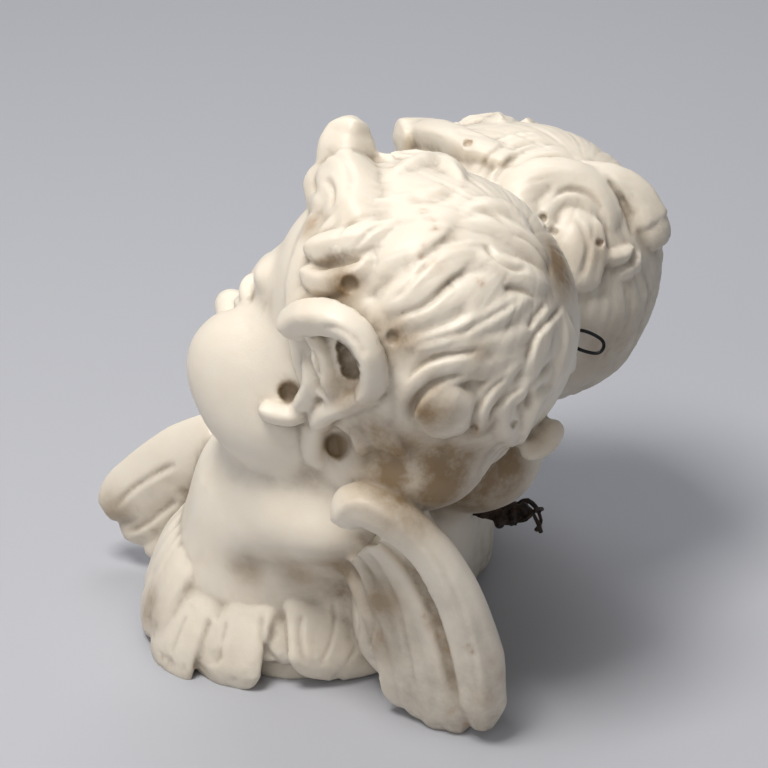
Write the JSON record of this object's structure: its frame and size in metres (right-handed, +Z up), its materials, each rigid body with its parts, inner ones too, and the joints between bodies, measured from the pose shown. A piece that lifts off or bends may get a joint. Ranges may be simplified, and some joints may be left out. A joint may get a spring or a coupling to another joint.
{
  "type": "winged cherub head group",
  "caption": "Two winged cherub heads carved from one marble block, with curly hair, feathered breasts and folded wings, and an iron cramp and a wire loop in the rough back.",
  "frame": {"origin": "middle of the underside's bounding rectangle, with the group standing as pictured", "axes": "+Z up; -Y the way the cherubs face; +X towards the near cherub's left side, which is the side that the picture shows"},
  "size_m": [0.2478, 0.2528, 0.2406],
  "materials": {
    "marble": "warm white marble, smoothed by hand, with brownish patina in the hollows",
    "iron": "corroded dark iron",
    "wire": "dark dull steel wire"
  },
  "bodies": {
    "root": {"marble_group": "marble", "iron_cramp": "iron", "wire_loop": "wire"}
  },
  "joints": []
}
